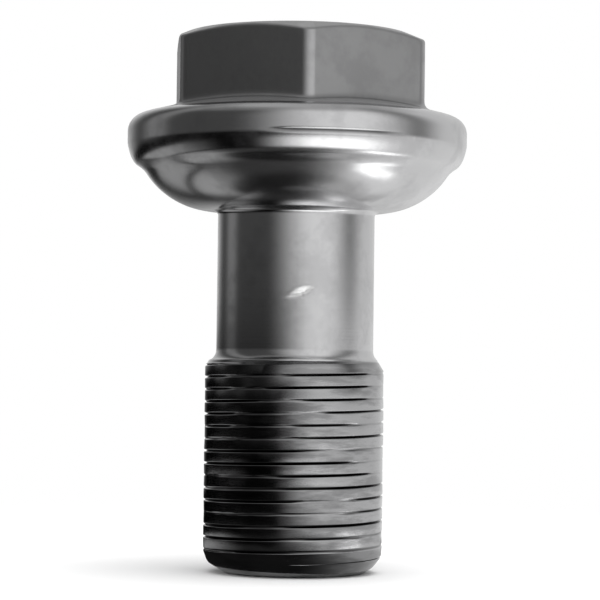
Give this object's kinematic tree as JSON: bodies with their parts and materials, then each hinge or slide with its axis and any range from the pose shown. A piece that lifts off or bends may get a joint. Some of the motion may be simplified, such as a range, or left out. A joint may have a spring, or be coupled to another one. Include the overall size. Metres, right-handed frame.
{
  "type": "wheel bolt",
  "caption": "Forged wheel bolt with a hexagon head, a lipped flange over a rounded seat, a smooth waisted shank and a fine thread, to hold a vehicle's wheel to its hub.",
  "frame": {"origin": "centre of the flat end face of the thread, on the bolt's axis, where the bolt stands", "axes": "+Z along the bolt's axis from the thread to the head, with a corner of the hexagon towards -Y"},
  "size_m": [0.0418, 0.0418, 0.066],
  "materials": {
    "plated_steel": "bright zinc plate, satin gloss, darker in the thread"
  },
  "bodies": {
    "root": {"wheel_bolt": "plated_steel"}
  },
  "joints": []
}
